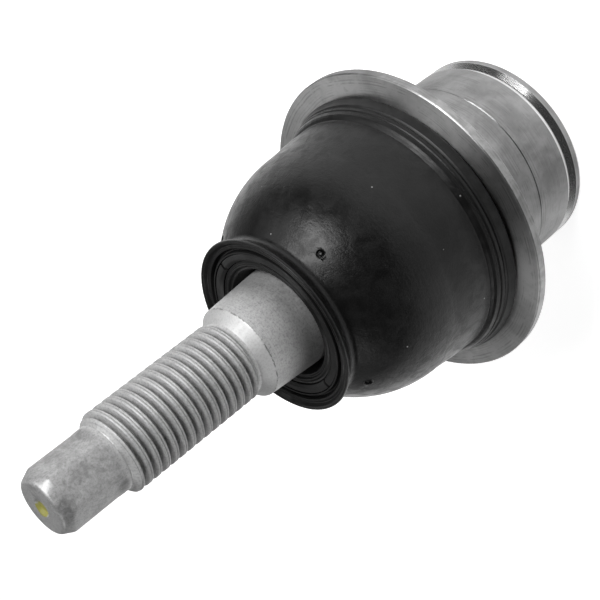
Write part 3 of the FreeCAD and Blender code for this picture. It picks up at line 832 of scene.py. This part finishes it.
def lathe_rings(tree, place, per_mm, waver):
    """Thin rings round the axis, so many to the mm."""
    return use_group(tree, turning_rings, place, Rings_per_mm=per_mm, Waver=waver)


def open_finish(name):
    """A material cleared for nodes: the material, its tree, its Principled shader and the place."""
    material = bpy.data.materials.get(name) or bpy.data.materials.new(name)
    material.use_nodes = True
    tree = material.node_tree
    tree.nodes.clear()
    shader = tree.nodes.new("ShaderNodeBsdfPrincipled")
    tree.links.new(shader.outputs[0], tree.nodes.new("ShaderNodeOutputMaterial").inputs[0])
    return material, tree, shader, tree.nodes.new("ShaderNodeTexCoord").outputs["Object"]


def fill(tree, shader, **wanted):
    """Plugs the shader's own sockets, given by name."""
    for name, given in wanted.items():
        plug(tree, given, shader.inputs[name.replace("_", " ")])


print("materials before the finishes:", [material.name for material in bpy.data.materials])

# %% Helpers for colour and relief
def mix_colour(tree, share, first, second):
    """Mix node for colours: inputs 6 and 7 are its colours, output 2 its result."""
    return add(tree, "ShaderNodeMix", {0: share, 6: first, 7: second}, data_type="RGBA").outputs[2]


def layered(tree, base, *layers):
    """A base colour with each (share, colour) layer laid over it in turn."""
    for share, colour in layers:
        base = mix_colour(tree, share, base, colour)
    return base


def bump(tree, height, depth, strength=1.0):
    """A Bump node's normal from a height between 0 and 1, for that depth in mm."""
    made = add(tree, "ShaderNodeBump", {"Height": height, "Distance": depth * MM, "Strength": strength})
    return made.outputs[0]


def grey(level, warm=0.0):
    """A nearly neutral colour."""
    return (level * (1 + warm), level, level * (1 - warm), 1.0)


print("a warm grey:", [round(part, 3) for part in grey(0.3, 0.03)])

# %% [markdown]
# ### The stud's plated forging
#
# The stud is forged, turned and plated in a dull grey, lighter on the cone and chipped along the taper's edge.
# Painted shade darkens the roots of its thread and the seam on its crests. An image could show that, but
# it would have to be unwrapped along the helix.
# Here the height tells in which zone a point lies, and the thread's climb how close it is to a crest.

# %% Plated forging: its patterns, and the zones of the stud
stud_metal, t, shader, place = open_finish("plated_forging")
stains = stain(t, place, 4, 0.4, 0.68)
mottle = stain(t, place, 0.9, 0.35, 0.7)
smudge = stain(t, place, 4.8, 0.5, 0.62)
rings = lathe_rings(t, place, 5.0, 1.2)
grain = noise(t, place, 2600.0, 3.0, 0.75)
parts = parts_of(t, place)
up = maths(t, "DIVIDE", parts["Z"], MM)
on_taper = ramp(t, up, TAPER_END + 0.1, TAPER_END - 0.1)
on_cone = times(t, ramp(t, up, TAPER_END, TAPER_END + 0.3), ramp(t, up, CONE_END + 0.3, CONE_END - 0.1))
past_cone = ramp(t, up, CONE_END + 0.3, CONE_END + 0.9)
on_thread = times(t, past_cone, ramp(t, up, THREAD_END, THREAD_END - 0.8))
on_hexagon = ramp(t, up, THREAD_END, THREAD_END + 1.5, smooth=True)
print("zones end at", TAPER_END, CONE_END, THREAD_END, "and", round(tip, 1), "mm")

# %% Plated forging: painted shade in the thread, chips and a dot of paint
bearing = maths(t, "DIVIDE", maths(t, "ARCTAN2", parts["Y"], parts["X"]), 2 * math.pi)
climb = maths(t, "SUBTRACT", maths(t, "DIVIDE", maths(t, "SUBTRACT", up, THREAD_START), THREAD_PITCH),
              maths(t, "ADD", bearing, THREAD_TURNED_BY))
crest = near_crest(t, climb)
in_root, in_seam = ramp(t, crest, 0.44, 0.16), ramp(t, crest, 0.90, 0.97)
# Painted shade: the thread's roots and the seam on each crest are darkened in the colour, more or less with the
# stains.
painted_root_shade = times(t, on_thread, maths(t, "MAXIMUM", in_root, in_seam), ramp(t, stains, 0.0, 1.0, 0.55, 0.25))

from_edge = maths(t, "ABSOLUTE", maths(t, "SUBTRACT", up, TAPER_END + 0.02))
by_edge = maths(t, "SUBTRACT", 1.0, ramp(t, from_edge, 0.04, 0.15))
chipped = times(t, by_edge, ramp(t, noise(t, place, 900.0, 4.0, 0.8), 0.49, 0.55))

PAINT = (0.21, 0.20, 0.045, 1.0)
PAINT_DEPTH = 0.9
from_dot = from_line(t, parts, x=-0.12 * MM, y=0.75 * MM)
ragged = times(t, maths(t, "SUBTRACT", noise(t, place, 900.0), 0.5), 1.2 * MM)
in_dot = ramp(t, maths(t, "ADD", from_dot, ragged), 1.6 * MM, 1.4 * MM)
paint = times(t, maths(t, "GREATER_THAN", up, tip - PAINT_DEPTH), in_dot)
print("dirt, chips and paint are masks between 0 and 1;", len(t.nodes), "nodes so far")

# %% Plated forging: the coat in layers, its gloss and its relief
coat = layered(
    t, mix_colour(t, stains, grey(0.45), grey(0.38)),
    (times(t, on_taper, ramp(t, rings, 0.3, 0.7), 0.35), grey(0.22)),
    (times(t, past_cone, 0.2), grey(0.26)),
    # painted shade in the thread's roots and crest seams
    (painted_root_shade, grey(0.10)),
    (times(t, on_hexagon, 0.6), grey(0.22)),
    (times(t, on_hexagon, smudge, 0.45), grey(0.10)),
    (times(t, mottle, 0.3), grey(0.56)),
    (ramp(t, grain, 0.47, 0.68, 0.0, 0.5), grey(0.13)),
    (times(t, on_cone, 0.5), grey(0.45)),
    (times(t, chipped, 0.7), grey(0.05)),
    (paint, PAINT))
dull = times(t, maths(t, "MAXIMUM", on_cone, on_thread), 0.12)
relief = maths(t, "ADD", times(t, rings, 0.4), times(t, grain, 0.6))
fill(t, shader, Base_Color=coat, Metallic=times(t, maths(t, "SUBTRACT", 1.0, paint), 0.6),
     Roughness=maths(t, "ADD", ramp(t, mottle, 0.0, 1.0, 0.44, 0.54), dull), Normal=bump(t, relief, 0.03, 0.8))
print(stud_metal.name, "is", len(t.nodes), "nodes")

# %% [markdown]
# ### The housing's turned steel
#
# The housing is bare steel, and the fine rings that a lathe leaves spread each highlight across them. Real
# grooves would take millions of faces, so the shader's anisotropy does it, turned by a quarter because it
# starts along the rings. Dark patches lie on the barrel and the flange's rim, and the groove is smoother.

# %% Turned steel: its patterns, and the zones of the housing
turned_steel, t, shader, place = open_finish("turned_steel")
stains = stain(t, place, 6, 0.38, 0.7)
scuffs = stain(t, place, 1.4, 0.55, 0.75)
mottle = stain(t, place, 3.5, 0.35, 0.65)
patch = stain(t, place, 11, 0.38, 0.66)
rings = lathe_rings(t, place, 7.0, 0.8)
streaks = lathe_rings(t, place, 2.6, 5.0)
parts = parts_of(t, place)
up = maths(t, "DIVIDE", parts["Z"], MM)
on_rim = ramp(t, from_line(t, parts), (flange_r - 0.3) * MM, (flange_r - 0.1) * MM)
on_barrel = ramp(t, up, -0.2, -0.6)
from_groove = maths(t, "ABSOLUTE", maths(t, "SUBTRACT", up, GROOVE_MIDDLE))
in_groove = ramp(t, from_groove, 1.5, 1.2)
print("zones: the rim outside", round(flange_r - 0.3, 2), "mm, the barrel, and the groove at", GROOVE_MIDDLE)

# %% Turned steel: the colour in layers, its gloss and its relief
steel = layered(
    t, mix_colour(t, stains, grey(0.50), grey(0.35)),
    (times(t, rings, 0.4), grey(0.50)),
    (times(t, ramp(t, streaks, 0.46, 0.66, 0.0, 0.5), ramp(t, mottle, 0.2, 0.7)), grey(0.17)),
    (times(t, scuffs, 0.25), grey(0.16)),
    (times(t, on_rim, ramp(t, mottle, 0.0, 1.0, 0.45, 0.7)), grey(0.12)),
    (times(t, on_barrel, ramp(t, patch, 0.0, 1.0, 0.52, 0.74)), grey(0.08)),
    (in_groove, grey(0.55)))
worn = ramp(t, rings, 0.3, 0.7, 0.32, 0.46)
relief = times(t, rings, ramp(t, in_groove, 0.0, 1.0, 1.0, 0.02))
fill(t, shader, Base_Color=steel, Metallic=1.0, Anisotropic=0.8, Anisotropic_Rotation=0.25,
     Roughness=ramp(t, in_groove, 0.0, 1.0, worn, 0.18), Normal=bump(t, relief, 0.02, 0.7))
print(turned_steel.name, "is", len(t.nodes), "nodes")

# %% [markdown]
# ### Rubber, and the plainer finishes
#
# Rubber is nearly black, and what shows of it is its sheen, which grease and fine grain make uneven. A grey
# base would be easier to light, but it would look like plastic. The rings' steel is blackened, so it is
# only partly metallic. The pieces inside are pale polymer, blued spring steel and a pressed plate.

# %% Black rubber of the boot
rubber, t, shader, place = open_finish("black_rubber")
bloom = stain(t, place, 12, 0.35, 0.75)
grease = stain(t, place, 2.2, 0.35, 0.7)
dust = use_group(t, specks, place, Spacing=0.0028, Size=0.07, Share=0.22)
grain = noise(t, place, 2800.0, 2.0)
black = mix_colour(t, bloom, grey(0.0035), grey(0.0075))
sheen = maths(t, "ADD", ramp(t, grease, 0.0, 1.0, 0.28, 0.43), times(t, bloom, 0.06))
relief = maths(t, "ADD", grain, grease)
fill(t, shader, Base_Color=mix_colour(t, dust, black, grey(0.35)), Roughness=sheen,
     Specular_IOR_Level=0.21, Normal=bump(t, relief, 0.04, 0.6))
print(rubber.name, "is", len(t.nodes), "nodes")

# %% Blackened steel of the rings
black_steel, t, shader, place = open_finish("black_steel")
stains = stain(t, place, 3, 0.4, 0.7)
rings = lathe_rings(t, place, 4.0, 1.0)
fill(t, shader, Base_Color=mix_colour(t, stains, grey(0.010), grey(0.019)), Metallic=0.3,
     Specular_IOR_Level=0.3, Roughness=ramp(t, rings, 0.2, 0.8, 0.34, 0.46), Normal=bump(t, rings, 0.01, 0.4))
print(black_steel.name, "is", len(t.nodes), "nodes")

# %% The pieces inside: races, spring washer, cover plate
race_polymer, t, shader, place = open_finish("race_polymer")
stains = stain(t, place, 4, 0.4, 0.7)
fill(t, shader, Base_Color=mix_colour(t, stains, (0.72, 0.68, 0.58, 1.0), (0.60, 0.56, 0.46, 1.0)),
     Roughness=ramp(t, stains, 0.0, 1.0, 0.38, 0.48), Normal=bump(t, noise(t, place, 3000.0), 0.005))

spring_steel, t, shader, place = open_finish("spring_steel")
stains = stain(t, place, 3, 0.4, 0.7)
fill(t, shader, Base_Color=mix_colour(t, stains, (0.10, 0.11, 0.14, 1.0), (0.16, 0.15, 0.15, 1.0)),
     Metallic=1.0, Roughness=ramp(t, stains, 0.0, 1.0, 0.30, 0.42))

pressed_plate, t, shader, place = open_finish("pressed_plate")
stains = stain(t, place, 5, 0.4, 0.7)
scuff = noise(t, place, 700.0, 4.0)
fill(t, shader, Base_Color=mix_colour(t, stains, grey(0.42), grey(0.30, 0.03)), Metallic=1.0,
     Roughness=ramp(t, scuff, 0.3, 0.7, 0.30, 0.45), Normal=bump(t, scuff, 0.01, 0.5))
print("finishes inside:", [finish.name for finish in (race_polymer, spring_steel, pressed_plate)])

# %% [markdown]
# ## Put on the finishes and tie the turned steel pieces to their bodies
#
# The bodies come from the CAD model: the housing stands still, the boot is the link that swings, its neck
# swings with the stud, and the stud also spins. The housing and the base ring are tied to the housing's body,
# the neck ring to the boot's neck and the stud to its own, while the boot's two halves are only set in place.
# A turned piece that stands for a solid hides it. The inner solids keep their own meshes and only change
# their finish.

# %% Finishes of the pieces
for piece, material in ((stud, stud_metal), (housing, turned_steel), (boot_lower, rubber),
                        (boot_upper, rubber), (base_ring, black_steel), (neck_ring, black_steel)):
    piece.data.materials.clear()
    piece.data.materials.append(material)
    print(piece.name, "is in", material.name)
kept_nodes = {"front_race": race_polymer, "rear_race": race_polymer,
              "preload_washer": spring_steel, "cover_plate": pressed_plate}
for name, material in kept_nodes.items():
    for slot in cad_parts[name].material_slots:
        slot.material = material
    print(name, "keeps its solid, in", material.name)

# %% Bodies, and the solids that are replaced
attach(housing, "housing")
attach(base_ring, "housing")
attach(stud, "stud")
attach(neck_ring, "boot_neck")
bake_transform(boot_lower)
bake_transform(boot_upper)
stands_for = {housing: ("machined_steel", "housing"), base_ring: ("black_steel", "boot_base_ring"),
              neck_ring: ("black_steel", "boot_neck_ring"),
              stud: ("stud_steel", "ball_stud"), boot_lower: ("boot_rubber", "dust_boot"),
              boot_upper: ("boot_rubber", "dust_boot")}
for piece, (slot_name, node_name) in stands_for.items():
    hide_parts(node_name)
    print(piece.name, "stands for", node_name)

# %% [markdown]
# ## Floor and light
#
# The photograph is a cut-out on white. The joint stands on a pale floor on its rolled end, seen by a tilted
# camera. The floor could be lit until it is white, but that would bleach the joint too, so its material
# glows for the camera and for reflections only, and it still takes the joint's shadow. Steel looks like
# steel only if it has something bright and something dark to reflect: in reflections the floor has three
# dark pools near the joint. One large lamp gives the light, and three weak ones stand round.

# %% Directions seen from the joint
def towards(turn_from_camera, lift):
    """Unit direction from the joint, in degrees round its axis from the camera's side and up from the floor."""
    round_axis, up = math.radians(turn_from_camera), math.radians(lift)
    level = near * math.cos(round_axis) + AXIS_IN_VIEW.cross(near) * math.sin(round_axis)
    return view_to_row @ (level * math.cos(up) + AXIS_IN_VIEW * math.sin(up))


print("the camera's side:", [round(part, 2) for part in towards(0, 0)])

# %% The plane of the floor
FLOOR_HALF = 4.0
FLOOR_GAP = 0.02
floor_height = cad_low.z - FLOOR_GAP * MM
stage_floor = bpy.data.meshes.new("stage_floor")
corners = ((-1, -1), (1, -1), (1, 1), (-1, 1))
stage_floor.from_pydata([(x * FLOOR_HALF, y * FLOOR_HALF, floor_height) for x, y in corners], [], [(0, 1, 2, 3)])
floor = bpy.data.objects.new("stage_floor", stage_floor)
bpy.context.scene.collection.objects.link(floor)
floor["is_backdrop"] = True
print("the floor lies at", round(floor_height / MM, 2), "mm")

# %% Dark pools in what the floor reflects
FLOOR_GLOW = 0.75
DARK_POOLS = ((-22, 0.20, 0.06, 0.125), (-34, 0.055, 0.018, 0.038), (104, 0.06, 0.018, 0.042))
pale = bpy.data.materials.new("pale_floor")
pale.use_nodes = True
stage_floor.materials.append(pale)
t = pale.node_tree
t.nodes.clear()
on_floor = t.nodes.new("ShaderNodeTexCoord").outputs["Object"]
reflected = FLOOR_GLOW
for turn_from_camera, from_axis, black_to, dark_to in DARK_POOLS:
    centre = towards(turn_from_camera, 0) * from_axis
    from_pool = distance(t, on_floor, (centre.x, centre.y, floor_height))
    pool = ramp(t, from_pool, black_to, dark_to, 0.0, FLOOR_GLOW, smooth=True)
    reflected = maths(t, "MINIMUM", reflected, pool)
    print("a pool of", round(dark_to / MM), "mm radius,", round(from_axis / MM), "mm from the axis")

# %% A floor that glows for the camera and for reflections
path = t.nodes.new("ShaderNodeLightPath").outputs
seen_directly = maths(t, "MAXIMUM", path["Is Camera Ray"],
                      maths(t, "MAXIMUM", path["Is Glossy Ray"], path["Is Transmission Ray"]))
strength = maths(t, "MAXIMUM", reflected, times(t, path["Is Camera Ray"], FLOOR_GLOW))
matte = add(t, "ShaderNodeBsdfDiffuse", {"Color": grey(0.7)})
glow = add(t, "ShaderNodeEmission", {"Color": grey(1.0), "Strength": strength})
both = add(t, "ShaderNodeAddShader", {0: matte.outputs[0], 1: glow.outputs[0]})
chosen = add(t, "ShaderNodeMixShader", {0: seen_directly, 1: matte.outputs[0], 2: both.outputs[0]})
t.links.new(chosen.outputs[0], t.nodes.new("ShaderNodeOutputMaterial").inputs[0])
print(pale.name, "is", len(t.nodes), "nodes")

# %% The world, brighter behind the joint
ROOM_DIM, ROOM_BRIGHT = 0.05, 0.31
world = bpy.data.worlds.new("studio")
world.use_nodes = True
bpy.context.scene.world = world
t = world.node_tree
t.nodes.clear()
direction = t.nodes.new("ShaderNodeTexCoord").outputs["Generated"]
lit_side = add(t, "ShaderNodeVectorMath", {0: direction, 1: tuple(towards(180, 20))}, operation="DOT_PRODUCT")
strength = ramp(t, lit_side.outputs["Value"], 0.0, 1.0, ROOM_DIM, ROOM_BRIGHT)
room = add(t, "ShaderNodeBackground", {"Color": grey(1.0), "Strength": strength})
t.links.new(room.outputs[0], t.nodes.new("ShaderNodeOutputWorld").inputs[0])
print("the world is", len(t.nodes), "nodes")

# %% The lamps
LAMP_TARGET = Vector((0, 0, 0.02))
LAMP_DISTANCE = 0.7


def soft_lamp(name, turn_from_camera, lift, size, power):
    """A square soft box in that direction, aimed at the joint."""
    data = bpy.data.lights.new(name, "AREA")
    data.shape, data.size, data.energy = "SQUARE", size, power
    lamp = bpy.data.objects.new(name, data)
    back = towards(turn_from_camera, lift)
    stand = LAMP_TARGET + back * LAMP_DISTANCE
    lamp.matrix_world = Matrix.Translation(stand) @ back.to_track_quat("Z", "Y").to_matrix().to_4x4()
    bpy.context.scene.collection.objects.link(lamp)
    print(name, "stands", round(stand.z - floor_height, 2), "m above the floor")


soft_lamp("key", 46, 43, 0.38, 6.2)
soft_lamp("side", 92, 35, 0.30, 0.6)
soft_lamp("behind", 150, 35, 0.30, 0.35)
soft_lamp("counter", -108, 42, 0.30, 0.9)
bpy.context.scene.view_settings.view_transform = "Standard"

# %% [markdown]
# ## The joint's box
#
# The last line prints how much larger the finished joint's box is than the solids' box along each axis.
# The finished joint has to fill the same box as the solids.

# %% Boxes, and the last line
low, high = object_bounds()
print("grew by mm:", [round((a - b) / MM, 3) for a, b in zip(high - low, cad_high - cad_low)])
